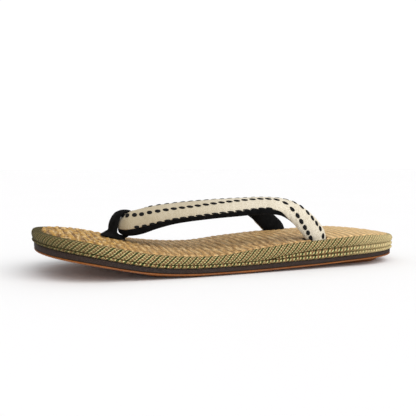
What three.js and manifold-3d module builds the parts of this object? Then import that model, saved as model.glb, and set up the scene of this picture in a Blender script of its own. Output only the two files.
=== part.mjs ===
// A zori sandal: a stacked, cloth-wrapped sole with a straw foot bed, and a padded thong strap.
// Millimetres, +Z up. X runs from the toe (-X) to the heel (+X), Y across the foot.
// The origin is on the ground under the middle of the sole.
import * as THREE from "three";
import { mergeVertices } from "three/addons/utils/BufferGeometryUtils.js";
import Module from "manifold-3d";

const wasm = await Module();
wasm.setup();

// ---- driving dimensions -------------------------------------------------
const LENGTH = 260; // toe to heel
const GAP = 0.3; // clearance left between neighbouring pieces
const SEAM_GAP = 0.5; // the same between the strap's cloth and lining
const TOE_ROUND = { reach: 48.5, power: 2.38 }; // length of the rounded toe and its fullness
const HEEL_ROUND = { reach: 51, power: 2.34 };
const HALF_WIDTHS = [
  { at: 0, half: 49.2 },
  { at: 70, half: 49.2 }, // ball
  { at: 150, half: 43.6 }, // waist
  { at: 225, half: 38.4 }, // heel
  { at: LENGTH, half: 38.4 },
];
const SPINE = 50; // an inset this deep lies on the sole's centre line
const SPINE_END = 14; // how far the centre line stops short of an outline's ends
const PARALLEL = 12; // insets up to here run parallel to the outline
const SEGMENTS = 56; // steps round the outline
const INNER_RING = 20; // inset of the ring between a layer's edge and its centre line

// The stack of the sole at stations counted from the toe: the height of its top edge and of the
// outsole's underside, then the thickness of the layers above it. The thick top layer is the rest.
const STATIONS = [
  { at: 0, top: 29.9, base: 16.4, outsole: 1.3, foam: 4.2, welt: 1.8, wedge: 0 },
  { at: 30, top: 24.9, base: 11.0, outsole: 1.5, foam: 3.8, welt: 1.9, wedge: 0 },
  { at: 70, top: 16.3, base: 3.2, outsole: 1.5, foam: 3.3, welt: 2.0, wedge: 0 },
  { at: 110, top: 13.3, base: 1.0, outsole: 1.5, foam: 3.2, welt: 2.1, wedge: 0 },
  { at: 140, top: 16.4, base: 1.1, outsole: 1.5, foam: 3.2, welt: 2.4, wedge: 0 },
  { at: 165, top: 18.7, base: 1.8, outsole: 1.4, foam: 3.2, welt: 2.7, wedge: 2.3 },
  { at: 190, top: 20.1, base: 2.6, outsole: 1.3, foam: 3.1, welt: 2.8, wedge: 3.8 },
  { at: 225, top: 21.6, base: 4.3, outsole: 1.3, foam: 3.0, welt: 2.6, wedge: 3.8 },
  { at: LENGTH, top: 19.4, base: 5.6, outsole: 1.3, foam: 2.8, welt: 2.3, wedge: 3.0 },
];
const WEDGE_FRONT = 152; // the heel wedge's thin end
const CLOTH_BULGE = 0.5; // how far a wrapped layer swells past the outline
const SIDE_BEND = 0.22; // share of a layer's height at which its side turns in, at top and bottom

const MAT = { inset: 3.3, toeInset: 2.6, toeReach: 34, thick: 2.9, rise: 0.2, crown: 1.7 };
const CROWN_FADE = 60; // the crown dies out over this length at both ends
const RIM = { inset: 1.9, drop: 0.2 }; // the crest of the wrapped rim round the mat
const FOREFOOT_PAD = { front: 58, back: 165, inset: 6, thick: 0.9 };
const HEEL_PAD = { front: 204, back: 253, inset: 15 };
const PAD_CORNER = { reach: 14, power: 2.6 };

// The strap as one padded tube, from its hidden end in the sole to the middle of its fold.
// out: distance from the centre line; lean: turn of the cloth face from upwards to outwards;
// face: turn of "outwards" towards the toe; wide and thick: the tube's section. The cloth meets
// the lining along two seams, given as angles above the section's widest line on either side.
const STRAP = [
  { at: 186.3, out: 32.6, z: 14.4, lean: 90, face: 0, wide: 14.6, thick: 7.4, outer: -14, inner: -6 },
  { at: 186.3, out: 32.6, z: 18.6, lean: 90, face: 0, wide: 14.8, thick: 7.4, outer: -14, inner: -6 },
  { at: 185.2, out: 33.0, z: 22.6, lean: 88, face: 0, wide: 15.0, thick: 7.7, outer: -14, inner: -6 },
  { at: 181.6, out: 34.4, z: 27.0, lean: 84, face: 0, wide: 14.8, thick: 8.1, outer: -14, inner: -6 },
  { at: 176.9, out: 35.6, z: 31.6, lean: 79, face: 0, wide: 14.4, thick: 8.2, outer: -14, inner: -6 },
  { at: 172.2, out: 35.8, z: 35.8, lean: 71, face: 2, wide: 13.8, thick: 8.4, outer: -12, inner: -3 },
  { at: 166.8, out: 35.3, z: 39.5, lean: 57, face: 6, wide: 13.6, thick: 8.4, outer: -6, inner: 3 },
  { at: 159.8, out: 33.7, z: 42.4, lean: 40, face: 10, wide: 14.0, thick: 8.6, outer: 5, inner: 11 },
  { at: 148.6, out: 30.6, z: 43.4, lean: 33, face: 13, wide: 15.0, thick: 9.0, outer: 18, inner: 18 },
  { at: 130.0, out: 26.2, z: 42.4, lean: 36, face: 13, wide: 15.6, thick: 9.0, outer: 20, inner: 18 },
  { at: 110.0, out: 21.8, z: 40.9, lean: 40, face: 13, wide: 16.0, thick: 9.0, outer: 24, inner: 16 },
  { at: 90.0, out: 17.0, z: 38.6, lean: 46, face: 15, wide: 16.4, thick: 8.8, outer: 31, inner: 12 },
  { at: 77.0, out: 13.3, z: 35.9, lean: 56, face: 19, wide: 17.2, thick: 8.2, outer: 42, inner: 6 },
  { at: 68.5, out: 10.2, z: 33.2, lean: 66, face: 27, wide: 17.4, thick: 7.4, outer: 52, inner: 2 },
  { at: 62.0, out: 7.2, z: 31.6, lean: 73, face: 42, wide: 16.2, thick: 6.8, outer: 54, inner: 0 },
  { at: 59.0, out: 0.0, z: 31.0, lean: 71, face: 90, wide: 13.0, thick: 6.4, outer: 50, inner: 0 },
];
// How the arm on the +Y side differs: lower and further back at its middle, and its hole nearer
// the toe, so that it comes down more steeply.
const FAR_ARM = { drop: 4, forward: 2.2, back: 3 };
const STRAP_STEPS = 60; // steps along both arms together
const STRAP_SIDES = 12;

// The toe thong: a cloth loop round the strap's fold, in the sandal's middle plane, on a flared
// foot. wide is its width across the foot, thick its thickness.
const THONG_LOOP = [
  { at: 52.0, z: 24.6, wide: 8.6, thick: 6.2 },
  { at: 51.9, z: 29.0, wide: 10.4, thick: 6.3 },
  { at: 53.2, z: 33.6, wide: 11.0, thick: 5.8 },
  { at: 55.9, z: 37.0, wide: 10.4, thick: 4.6 },
  { at: 59.8, z: 39.1, wide: 8.4, thick: 3.2 },
  { at: 64.0, z: 38.4, wide: 5.2, thick: 2.8 },
  { at: 65.9, z: 34.6, wide: 4.0, thick: 2.8 },
  { at: 64.8, z: 28.6, wide: 4.2, thick: 2.8 },
  { at: 60.4, z: 23.3, wide: 5.6, thick: 2.4 },
  { at: 54.8, z: 23.2, wide: 7.0, thick: 2.6 },
];
const THONG_STEPS = 30;
const THONG_SIDES = 10;
const THONG_AT = 51; // the thong's hole
// Its foot, turned round the hole: height over the mat and radius.
const THONG_FOOT = [
  { up: -5.8, radius: 0 },
  { up: -5.8, radius: 3.4 },
  { up: 0.4, radius: 3.8 },
  { up: 0.45, radius: 6.6 },
  { up: 1.5, radius: 6.3 },
  { up: 3.2, radius: 4.6 },
  { up: 4.6, radius: 3.2 },
  { up: 4.6, radius: 0 },
];
const FOOT_LEAN = 1.3; // the foot's skirt reaches this much further towards the toe
const HOLES = [
  { at: THONG_AT, out: 0, long: 4.3, wide: 4.3 },
  { at: 185.4, out: -33.0, long: 9.2, wide: 5.2 },
  { at: 182.8, out: 33.1, long: 9.8, wide: 5.4 },
];
const HOLE_DEPTH = 4; // how far the holes go on below the mat
const HOLE_HEADROOM = 10; // how far their cutters stand over the top edge

// ---- tables -------------------------------------------------------------
// Smooth interpolation of one column of a table along its "at" column.
function column(rows, name) {
  const knots = rows.map((row) => row.at);
  const values = rows.map((row) => row[name]);
  const last = rows.length - 1;
  const slope = (i) => (values[i + 1] - values[i]) / (knots[i + 1] - knots[i]);
  const tangent = (i) => {
    if (i === 0) return slope(0);
    if (i === last) return slope(last - 1);
    return slope(i - 1) * slope(i) <= 0 ? 0 : (slope(i - 1) + slope(i)) / 2;
  };
  return (at) => {
    const x = THREE.MathUtils.clamp(at, knots[0], knots[last]);
    const i = Math.min(last - 1, Math.max(0, knots.findLastIndex((knot) => knot <= x)));
    const step = knots[i + 1] - knots[i];
    const t = (x - knots[i]) / step;
    const plain = values[i] + (values[i + 1] - values[i]) * t * t * (3 - 2 * t);
    return plain + step * t * (1 - t) * (tangent(i) * (1 - t) - tangent(i + 1) * t);
  };
}

// One column of a table at a place counted in rows, which may fall between two of them.
function between(rows, name, place) {
  const i = THREE.MathUtils.clamp(Math.floor(place), 0, rows.length - 2);
  return THREE.MathUtils.lerp(rows[i][name], rows[i + 1][name], place - i);
}

// ---- the last: outline and heights --------------------------------------
const plainHalf = column(HALF_WIDTHS, "half");
const topEdge = column(STATIONS, "top");
const baseHeight = column(STATIONS, "base");
const wedgeThickness = column(STATIONS, "wedge");
const layers = ["outsole", "foam", "welt"].map((name) => column(STATIONS, name));

// Heights of the joints between the layers, in the middle of their clearance.
const outsoleTop = (at) => baseHeight(at) + layers[0](at);
const foamTop = (at) => outsoleTop(at) + layers[1](at);
const weltTop = (at) => foamTop(at) + layers[2](at);
const wedgeTop = (at) => weltTop(at) + wedgeThickness(at);

function rounding(distance, end) {
  if (distance >= end.reach) return 1;
  return (1 - (1 - Math.max(distance, 0) / end.reach) ** end.power) ** (1 / end.power);
}

function halfWidth(at) {
  return plainHalf(at) * rounding(at, TOE_ROUND) * rounding(LENGTH - at, HEEL_ROUND);
}

// The sole's outline: turn runs once round it, from the toe along the -Y side.
function soleOutline(turn) {
  const at = (LENGTH * (1 - Math.cos(turn))) / 2;
  return new THREE.Vector2(at, -Math.sign(Math.sin(turn)) * halfWidth(at));
}

// The outline moved inwards, and past PARALLEL drawn together on the centre line.
function insetPoint(outline, turn, inset) {
  const NUDGE = 0.01;
  const point = outline(turn);
  const along = outline(turn + NUDGE).sub(outline(turn - NUDGE));
  const inwards = new THREE.Vector2(-along.y, along.x).normalize();
  point.addScaledVector(inwards, Math.min(inset, PARALLEL));
  if (inset <= PARALLEL) return point;
  const front = outline(0).x + SPINE_END;
  const back = outline(Math.PI).x - SPINE_END;
  const spine = new THREE.Vector2(THREE.MathUtils.clamp(point.x, front, back), 0);
  return point.lerp(spine, (inset - PARALLEL) / (SPINE - PARALLEL));
}

// The mat's extra inset round the toe.
function toeInset(at) {
  return MAT.toeInset * (1 - THREE.MathUtils.smoothstep(at, 0, MAT.toeReach));
}

// The straw surface: level with the rim at its edge, and crowned across the foot.
function matTop(at, out) {
  const across = Math.min(1, Math.abs(out) / Math.max(1, halfWidth(at) - MAT.inset));
  const ends = THREE.MathUtils.smoothstep(Math.min(at, LENGTH - at), 0, CROWN_FADE);
  return topEdge(at) + MAT.rise + MAT.crown * ends * (1 - across ** 2);
}

const matBottom = (at) => topEdge(at) + MAT.rise - MAT.thick;

// ---- shaping three.js primitives ----------------------------------------
function reshape(geometry, place) {
  const positions = geometry.getAttribute("position");
  const point = new THREE.Vector3();
  for (let i = 0; i < positions.count; i++) {
    point.copy(place(point.fromBufferAttribute(positions, i)));
    positions.setXYZ(i, point.x, point.y, point.z);
  }
  return geometry;
}

// Joins a geometry's coincident corners and drops the triangles that this collapses.
function sewn(geometry) {
  const plain = new THREE.BufferGeometry();
  plain.setAttribute("position", geometry.getAttribute("position"));
  plain.setIndex(geometry.getIndex());
  const merged = mergeVertices(plain, 1e-3);
  const corners = Array.from(merged.getIndex().array);
  const kept = [];
  for (let i = 0; i < corners.length; i += 3) {
    const [a, b, c] = corners.slice(i, i + 3);
    if (a !== b && b !== c && c !== a) kept.push(a, b, c);
  }
  merged.setIndex(kept);
  return merged;
}

// A closed layer of the sole. Each ring has an inset from the outline and a height function of
// (at, out); they run from the middle of the top over the edge to the middle of the underside.
function soleLayer(rings, outline = soleOutline) {
  const rows = rings.length - 1;
  const sleeve = new THREE.CylinderGeometry(1, 1, rows, SEGMENTS, rows, true);
  return sewn(reshape(sleeve, (p) => {
    const ring = rings[Math.round(rows / 2 - p.y)];
    const turn = Math.atan2(p.x, p.z);
    const extra = ring.follow ? ring.follow(outline(turn).x) : 0;
    const flat = insetPoint(outline, turn, Math.min(ring.inset + extra, SPINE));
    const height = ring.height(flat.x, flat.y);
    return new THREE.Vector3(flat.x - LENGTH / 2, flat.y, height);
  }));
}

// A plain layer between two heights, with its side swollen or square.
function slab(bottom, top, edge, outline = soleOutline) {
  const low = (at) => bottom(at) + GAP / 2;
  const high = (at) => top(at) - GAP / 2;
  const part = (share) => (at) => THREE.MathUtils.lerp(low(at), high(at), share);
  return soleLayer([
    { inset: SPINE, height: high },
    { inset: INNER_RING, height: high },
    { inset: edge.inset + edge.corner, height: high },
    { inset: edge.inset, height: part(1 - SIDE_BEND) },
    { inset: edge.inset - edge.bulge, height: part(0.5) },
    { inset: edge.inset, height: part(SIDE_BEND) },
    { inset: edge.inset + edge.corner, height: low },
    { inset: INNER_RING, height: low },
    { inset: SPINE, height: low },
  ], outline);
}

// ---- booleans -----------------------------------------------------------
function toSolid(geometry) {
  const closed = sewn(geometry);
  return new wasm.Manifold(new wasm.Mesh({
    numProp: 3,
    vertProperties: new Float32Array(closed.getAttribute("position").array),
    triVerts: new Uint32Array(closed.getIndex().array),
  }));
}

function toGeometry(solid) {
  const { vertProperties, triVerts } = solid.getMesh();
  const geometry = new THREE.BufferGeometry();
  geometry.setAttribute("position", new THREE.Float32BufferAttribute(vertProperties, 3));
  geometry.setIndex(Array.from(triVerts));
  return geometry;
}

// Cuts the three strap holes, open at the top, down to a depth below the mat.
function withHoles(geometry, depth) {
  const cutters = HOLES.map((hole) => {
    const bottom = matBottom(hole.at) - depth;
    const height = topEdge(hole.at) + HOLE_HEADROOM - bottom;
    const cutter = new THREE.CylinderGeometry(1, 1, height, 20).rotateX(Math.PI / 2);
    cutter.scale(hole.long, hole.wide, 1);
    return toSolid(cutter.translate(hole.at - LENGTH / 2, hole.out, bottom + height / 2));
  });
  return toGeometry(cutters.reduce((solid, cutter) => solid.subtract(cutter), toSolid(geometry)));
}

// ---- the sole's pieces --------------------------------------------------
function outsole() {
  return slab(baseHeight, outsoleTop, { inset: 0.9, corner: 0.3, bulge: 0.1 });
}

function foamMidsole() {
  return slab(outsoleTop, foamTop, { inset: 0.9, corner: 0.2, bulge: 0 });
}

function lowerMidsole() {
  return slab(foamTop, weltTop, { inset: 0.2, corner: 0.9, bulge: CLOTH_BULGE });
}

// The wedge is a full layer cut off square where it has thinned out.
function heelWedge() {
  const thin = (at) => Math.max(wedgeTop(at), weltTop(at) + GAP * 2);
  const layer = slab(weltTop, thin, { inset: 0.2, corner: 0.8, bulge: CLOTH_BULGE });
  const rear = new THREE.BoxGeometry(LENGTH, LENGTH, LENGTH);
  rear.translate(WEDGE_FRONT, 0, 0);
  return toGeometry(toSolid(layer).intersect(toSolid(rear)));
}

function upperMidsole() {
  const tray = (at) => matBottom(at) - GAP;
  const low = (at) => wedgeTop(at) + GAP / 2;
  const crest = (at) => topEdge(at) - RIM.drop;
  const part = (share) => (at) => THREE.MathUtils.lerp(low(at), topEdge(at), share);
  const rimInset = MAT.inset - GAP;
  const rings = [
    { inset: SPINE, height: tray },
    { inset: INNER_RING, height: tray, follow: toeInset },
    { inset: rimInset, height: tray, follow: toeInset },
    { inset: rimInset, height: (at) => crest(at) - 0.3, follow: toeInset },
    { inset: RIM.inset, height: crest, follow: toeInset },
    { inset: 0.6, height: part(0.88) },
    { inset: -0.1, height: part(0.68) },
    { inset: 0.1 - CLOTH_BULGE, height: part(0.42) },
    { inset: -0.1, height: part(0.18) },
    { inset: 0.7, height: low },
    { inset: INNER_RING, height: low },
    { inset: SPINE, height: low },
  ];
  return withHoles(soleLayer(rings), HOLE_DEPTH);
}

function topMat() {
  const edge = MAT.inset;
  const rings = [
    { inset: SPINE, height: matTop },
    { inset: 33, height: matTop },
    { inset: INNER_RING, height: matTop, follow: toeInset },
    { inset: 10, height: matTop, follow: toeInset },
    { inset: edge + 1, height: matTop, follow: toeInset },
    { inset: edge, height: (at) => topEdge(at) - 0.4, follow: toeInset },
    { inset: edge, height: matBottom, follow: toeInset },
    { inset: INNER_RING, height: matBottom, follow: toeInset },
    { inset: SPINE, height: matBottom },
  ];
  return withHoles(soleLayer(rings), HOLE_DEPTH);
}

// A tread pad: the sole's own outline between two stations, with rounded corners.
function padOutline(pad) {
  return (turn) => {
    const at = THREE.MathUtils.lerp(pad.front, pad.back, (1 - Math.cos(turn)) / 2);
    const ends = rounding(at - pad.front, PAD_CORNER) * rounding(pad.back - at, PAD_CORNER);
    return new THREE.Vector2(at, -Math.sign(Math.sin(turn)) * (halfWidth(at) - pad.inset) * ends);
  };
}

function treadPad(pad, bottom) {
  const top = (at) => baseHeight(at) - GAP;
  return soleLayer([
    { inset: SPINE, height: top },
    { inset: 0.2, height: top },
    { inset: 0, height: (at) => (top(at) + bottom(at)) / 2 },
    { inset: 0.7, height: bottom },
    { inset: SPINE, height: bottom },
  ], padOutline(pad));
}

function forefootPad() {
  const thick = FOREFOOT_PAD.thick + GAP;
  return treadPad(FOREFOOT_PAD, (at) => Math.max(0, baseHeight(at) - thick));
}

function heelPad() {
  return treadPad(HEEL_PAD, () => 0);
}

// ---- the strap ----------------------------------------------------------
// The whole strap's rows, from the end on the -Y side through the fold to the +Y side.
function strapRows() {
  const near = STRAP.map((row) => ({ ...row, side: -1 }));
  const last = STRAP.length - 1;
  const far = STRAP.slice(0, last).map((row, i) => {
    const share = i / last;
    const drop = FAR_ARM.drop * Math.sin(Math.PI * share);
    const atFoot = FAR_ARM.forward * Math.cos((Math.PI / 2) * share);
    const forward = atFoot - FAR_ARM.back * Math.sin(Math.PI * share) ** 4;
    return { ...row, side: 1, at: row.at - forward, z: row.z - drop };
  });
  return [...near, ...far.reverse()].map((row) => {
    const [lean, face] = [row.lean, row.face].map(THREE.MathUtils.degToRad);
    const outwards = row.side * Math.sin(lean) * Math.cos(face);
    const towardsToe = -Math.sin(lean) * Math.sin(face);
    const facing = new THREE.Vector3(towardsToe, outwards, Math.cos(lean));
    const centre = new THREE.Vector3(row.at - LENGTH / 2, row.side * row.out, row.z);
    return { ...row, centre, facing };
  });
}

const rows = strapRows();
const strapPath = new THREE.CatmullRomCurve3(rows.map((row) => row.centre), false, "centripetal");

// Where the strap is at a share of its length: its middle, its direction, the way its cloth
// faces, the direction of its outer edge, and its place in the table.
function strapFrame(share) {
  const place = share * (rows.length - 1);
  const i = Math.min(rows.length - 2, Math.floor(place));
  const along = strapPath.getTangent(share);
  const facing = rows[i].facing.clone().lerp(rows[i + 1].facing, place - i);
  facing.addScaledVector(along, -facing.dot(along)).normalize();
  const edge = new THREE.Vector3().crossVectors(facing, along);
  return { middle: strapPath.getPoint(share), along, facing, edge, place };
}

// A point on the padded tube; angle runs round its section, from its outer edge over the cloth.
function strapPoint(frame, angle) {
  const reach = (between(rows, "wide", frame.place) / 2) * Math.cos(angle);
  const rise = (between(rows, "thick", frame.place) / 2) * Math.sin(angle);
  return frame.middle.clone().addScaledVector(frame.edge, reach).addScaledVector(frame.facing, rise);
}

// A sleeve along the strap, which takes each corner from place(frame, corner, share); corner is
// null at the middle of its two end caps.
function alongStrap(steps, corners, place) {
  const sleeve = new THREE.CylinderGeometry(1, 1, steps, corners, steps);
  return reshape(sleeve, (p) => {
    const share = 0.5 - p.y / steps;
    const corner = Math.round((Math.atan2(-p.x, p.z) / (2 * Math.PI)) * corners);
    const ring = Math.hypot(p.x, p.z) > 0.5 ? (corner + corners) % corners : null;
    return place(strapFrame(share), ring, share);
  });
}

function strapTube() {
  return alongStrap(STRAP_STEPS, STRAP_SIDES, (frame, corner) =>
    corner === null ? frame.middle : strapPoint(frame, (2 * Math.PI * corner) / STRAP_SIDES));
}

// The clearance between cloth and lining: a thin blade from seam to seam, a little wider and
// longer than the tube. Its corners run over the top from the outer seam, then back below.
function seamBlade() {
  const END = 0.001;
  const across = [0, 0.5, 1, 1, 0.5, 0];
  return alongStrap(STRAP_STEPS * 2, across.length, (frame, corner, share) => {
    const outer = strapPoint(frame, THREE.MathUtils.degToRad(between(rows, "outer", frame.place)));
    const inner = strapPoint(frame, THREE.MathUtils.degToRad(180 - between(rows, "inner", frame.place)));
    const overhang = outer.clone().sub(inner).normalize();
    const up = new THREE.Vector3().crossVectors(frame.along, overhang);
    const beyond = share < END ? -1 : share > 1 - END ? 1 : 0;
    outer.add(overhang).addScaledVector(frame.along, beyond);
    inner.sub(overhang).addScaledVector(frame.along, beyond);
    if (corner === null) return outer.lerp(inner, 0.5);
    const side = corner < across.length / 2 ? 1 : -1;
    return outer.lerp(inner, across[corner]).addScaledVector(up, (side * SEAM_GAP) / 2);
  });
}

// The cloth cover, which reaches higher, and the lining under it.
function strapHalves() {
  const halves = toSolid(strapTube()).subtract(toSolid(seamBlade())).decompose();
  halves.sort((a, b) => b.boundingBox().max[2] - a.boundingBox().max[2]);
  return halves.map(toGeometry);
}

// ---- the toe thong ------------------------------------------------------
function thongLoop() {
  const middle = THONG_LOOP.map((row) => new THREE.Vector3(row.at - LENGTH / 2, 0, row.z));
  const path = new THREE.CatmullRomCurve3(middle, true, "centripetal");
  const ring = [...THONG_LOOP, THONG_LOOP[0]];
  const torus = new THREE.TorusGeometry(2, 1, THONG_SIDES, THONG_STEPS);
  return sewn(reshape(torus, (p) => {
    const share = (1 + Math.atan2(p.y, p.x) / (2 * Math.PI)) % 1;
    const angle = Math.atan2(p.z, Math.hypot(p.x, p.y) - 2);
    const place = share * THONG_LOOP.length;
    const along = path.getTangent(share);
    const outwards = new THREE.Vector3(-along.z, 0, along.x);
    return path.getPoint(share)
      .addScaledVector(outwards, (between(ring, "thick", place) / 2) * Math.cos(angle))
      .setY((between(ring, "wide", place) / 2) * Math.sin(angle));
  }));
}

function thongFoot() {
  const profile = THONG_FOOT.map((row) => new THREE.Vector2(row.radius, row.up));
  const foot = new THREE.LatheGeometry(profile, 20).rotateX(Math.PI / 2);
  return reshape(foot, (p) => {
    const reach = Math.hypot(p.x, p.y);
    const skirt = THREE.MathUtils.clamp((reach - 3.8) / 2.8, 0, 1);
    const x = p.x - FOOT_LEAN * skirt * Math.max(0, -p.x / (reach || 1));
    const at = THONG_AT + x;
    return new THREE.Vector3(at - LENGTH / 2, p.y, matTop(at, p.y) + p.z);
  });
}

function toeThong() {
  return toGeometry(toSolid(thongLoop()).add(toSolid(thongFoot())));
}

// ---- the sandal ---------------------------------------------------------
const straw = { color: "#b08a4c", roughness: 0.8 };
const tape = { color: "#8a8452", roughness: 0.85 };
const amberRubber = { color: "#a4602c", roughness: 0.55 };
const brownFoam = { color: "#3b2f2e", roughness: 0.8 };
const creamCloth = { color: "#ddd5bf", roughness: 0.85 };
const blackVelvet = { color: "#101010", roughness: 0.95 };

const [cover, lining] = strapHalves();
const PIECES = [
  { name: "forefoot_pad", make: forefootPad, finish: amberRubber },
  { name: "heel_pad", make: heelPad, finish: amberRubber },
  { name: "outsole", make: outsole, finish: amberRubber },
  { name: "foam_midsole", make: foamMidsole, finish: brownFoam },
  { name: "lower_midsole", make: lowerMidsole, finish: tape },
  { name: "heel_wedge", make: heelWedge, finish: tape },
  { name: "upper_midsole", make: upperMidsole, finish: tape },
  { name: "top_mat", make: topMat, finish: straw },
  { name: "strap_cover", make: () => cover, finish: creamCloth },
  { name: "strap_lining", make: () => lining, finish: blackVelvet },
  { name: "toe_thong", make: toeThong, finish: blackVelvet },
];

const sandal = new THREE.Group();
for (const { name, make, finish } of PIECES) {
  const geometry = make();
  geometry.computeVertexNormals();
  const mesh = new THREE.Mesh(geometry, new THREE.MeshStandardMaterial({ metalness: 0, ...finish }));
  mesh.name = name;
  sandal.add(mesh);
}

export default sandal;
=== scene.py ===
import math
from bisect import bisect_right

import bmesh
import bpy
from bpy.props import FloatProperty, FloatVectorProperty, PointerProperty
from mathutils import Matrix, Vector, noise


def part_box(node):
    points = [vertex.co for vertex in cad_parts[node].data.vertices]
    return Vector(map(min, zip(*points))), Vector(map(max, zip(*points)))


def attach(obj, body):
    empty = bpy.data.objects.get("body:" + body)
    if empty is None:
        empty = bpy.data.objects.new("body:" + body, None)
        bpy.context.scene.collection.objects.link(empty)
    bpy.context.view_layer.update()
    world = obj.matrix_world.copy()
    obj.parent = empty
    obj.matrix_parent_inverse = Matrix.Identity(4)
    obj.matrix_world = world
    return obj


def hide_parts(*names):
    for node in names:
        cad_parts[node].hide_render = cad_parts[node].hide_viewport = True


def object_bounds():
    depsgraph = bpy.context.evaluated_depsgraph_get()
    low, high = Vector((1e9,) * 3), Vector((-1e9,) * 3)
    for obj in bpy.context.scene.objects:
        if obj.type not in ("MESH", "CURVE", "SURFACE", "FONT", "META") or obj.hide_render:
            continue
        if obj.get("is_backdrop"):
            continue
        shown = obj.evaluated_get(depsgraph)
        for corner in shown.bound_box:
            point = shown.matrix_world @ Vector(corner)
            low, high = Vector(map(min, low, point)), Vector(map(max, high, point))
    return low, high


bl_info = {
    "name": "Zori Sandal",
    "version": (1, 0, 0),
    "blender": (4, 5, 0),
    "location": "View3D > Sidebar > Zori",
    "description": "Builds the woven, braided and padded pieces of a zori sandal on its frame",
    "category": "Add Mesh",
}

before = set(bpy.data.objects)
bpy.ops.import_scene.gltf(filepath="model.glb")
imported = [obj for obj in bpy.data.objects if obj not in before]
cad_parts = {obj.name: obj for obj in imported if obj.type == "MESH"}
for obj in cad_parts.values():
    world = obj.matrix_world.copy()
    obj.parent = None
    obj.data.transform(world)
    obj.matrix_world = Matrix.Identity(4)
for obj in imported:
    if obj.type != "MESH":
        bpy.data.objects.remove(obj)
CAD_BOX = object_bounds()

# Tables and shapes below are in millimetres. The sole is measured from its toe ("at"), and
# across the foot from its centre line ("out"). Meshes are in metres, centred under the sole.
MM = 0.001
TAPE_SWELL = 0.4  # how far the wrapped layers stand past the sole's outline
LENGTH = (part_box("upper_midsole")[1].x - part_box("upper_midsole")[0].x) / MM - 2 * TAPE_SWELL
GAP = 0.3  # clearance between neighbouring layers
SPINE = 50  # an inset this deep lies on the sole's centre line
SPINE_END = 14  # how far the centre line stops short of an outline's ends
PARALLEL = 12  # insets up to here run parallel to the outline
INNER_RING = 20  # inset of the ring between a layer's edge and its centre line


# ---- tables -------------------------------------------------------------
def table(names, *rows):
    """Rows of numbers under the column names."""
    return [dict(zip(names.split(), row)) for row in rows]


def curve(knots, values):
    """A smooth curve through the values, without overshoot at their peaks. Like every height
    of the sole it takes a place across the foot too, which makes no difference to it."""
    steps = list(zip(knots, knots[1:], values, values[1:]))
    slopes = [(b - a) / (q - p) for p, q, a, b in steps]
    middles = [0 if a * b <= 0 else (a + b) / 2 for a, b in zip(slopes, slopes[1:])]
    tangents = [slopes[0], *middles, slopes[-1]]

    def at(place, out=0):
        place = min(max(place, knots[0]), knots[-1])
        i = min(len(knots) - 2, bisect_right(knots, place) - 1)
        step = knots[i + 1] - knots[i]
        t = (place - knots[i]) / step
        plain = values[i] + (values[i + 1] - values[i]) * t * t * (3 - 2 * t)
        return plain + step * t * (1 - t) * (tangents[i] * (1 - t) - tangents[i + 1] * t)

    return at


def column(rows, name):
    """One column of a table as a smooth curve along its "at" column."""
    return curve([row["at"] for row in rows], [row[name] for row in rows])


def by_row(rows, name):
    """One column of a table as a smooth curve along its row numbers."""
    return curve(list(range(len(rows))), [row[name] for row in rows])


def mix(a, b, share):
    return a + (b - a) * share


def smooth(value, low, high):
    """0 below low, 1 above high, and an even ramp between them."""
    t = min(1, max(0, (value - low) / (high - low)))
    return t * t * (3 - 2 * t)


def spline(points, place, closed=False):
    """A point on a centripetal Catmull-Rom curve; place counts in control points."""
    count = len(points)
    i = int(place) % count if closed else min(int(place), count - 2)
    t = place - int(place) if closed else place - i
    if closed:
        p0, p1, p2, p3 = (points[(i + k) % count] for k in (-1, 0, 1, 2))
    else:
        p1, p2 = points[i], points[i + 1]
        p0 = points[i - 1] if i > 0 else 2 * p1 - p2
        p3 = points[i + 2] if i + 2 < count else 2 * p2 - p1
    d1 = max((p2 - p1).length ** 0.5, 1e-3)
    d0 = max((p1 - p0).length ** 0.5, 1e-3)
    d2 = max((p3 - p2).length ** 0.5, 1e-3)
    start = ((p1 - p0) / d0 - (p2 - p0) / (d0 + d1) + (p2 - p1) / d1) * d1
    end = ((p2 - p1) / d1 - (p3 - p1) / (d1 + d2) + (p3 - p2) / d2) * d1
    return (
        p1 * (2 * t**3 - 3 * t**2 + 1)
        + start * (t**3 - 2 * t**2 + t)
        + p2 * (3 * t**2 - 2 * t**3)
        + end * (t**3 - t**2)
    )


# ---- the sole's dimensions ----------------------------------------------
TOE_ROUND = {"reach": 48.5, "power": 2.38}
HEEL_ROUND = {"reach": 51, "power": 2.34}
HALF_WIDTHS = table("at half", (0, 49.2), (70, 49.2), (150, 43.6), (225, 38.4), (LENGTH, 38.4))
# Height of the sole's top edge and underside, then the thickness of each layer above it.
STATIONS = table(
    "at top base outsole foam welt wedge",
    (0, 29.9, 16.4, 1.3, 4.2, 1.8, 0),
    (30, 24.9, 11.0, 1.5, 3.8, 1.9, 0),
    (70, 16.3, 3.2, 1.5, 3.3, 2.0, 0),
    (110, 13.3, 1.0, 1.5, 3.2, 2.1, 0),
    (140, 16.4, 1.1, 1.5, 3.2, 2.4, 0),
    (165, 18.7, 1.8, 1.4, 3.2, 2.7, 2.3),
    (190, 20.1, 2.6, 1.3, 3.1, 2.8, 3.8),
    (225, 21.6, 4.3, 1.3, 3.0, 2.6, 3.8),
    (LENGTH, 19.4, 5.6, 1.3, 2.8, 2.3, 3.0),
)
WEDGE_FRONT = 152
MAT = {"inset": 3.3, "toe_inset": 2.6, "toe_reach": 34, "thick": 2.9, "rise": 0.2, "crown": 1.7}
CROWN_FADE = 60
RIM = {"inset": 1.9, "drop": 0.2}
FOREFOOT_PAD = {"front": 58, "back": 165, "inset": 6, "thick": 0.9}
HEEL_PAD = {"front": 204, "back": 253, "inset": 15}
PAD_CORNER = {"reach": 14, "power": 2.6}
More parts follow.
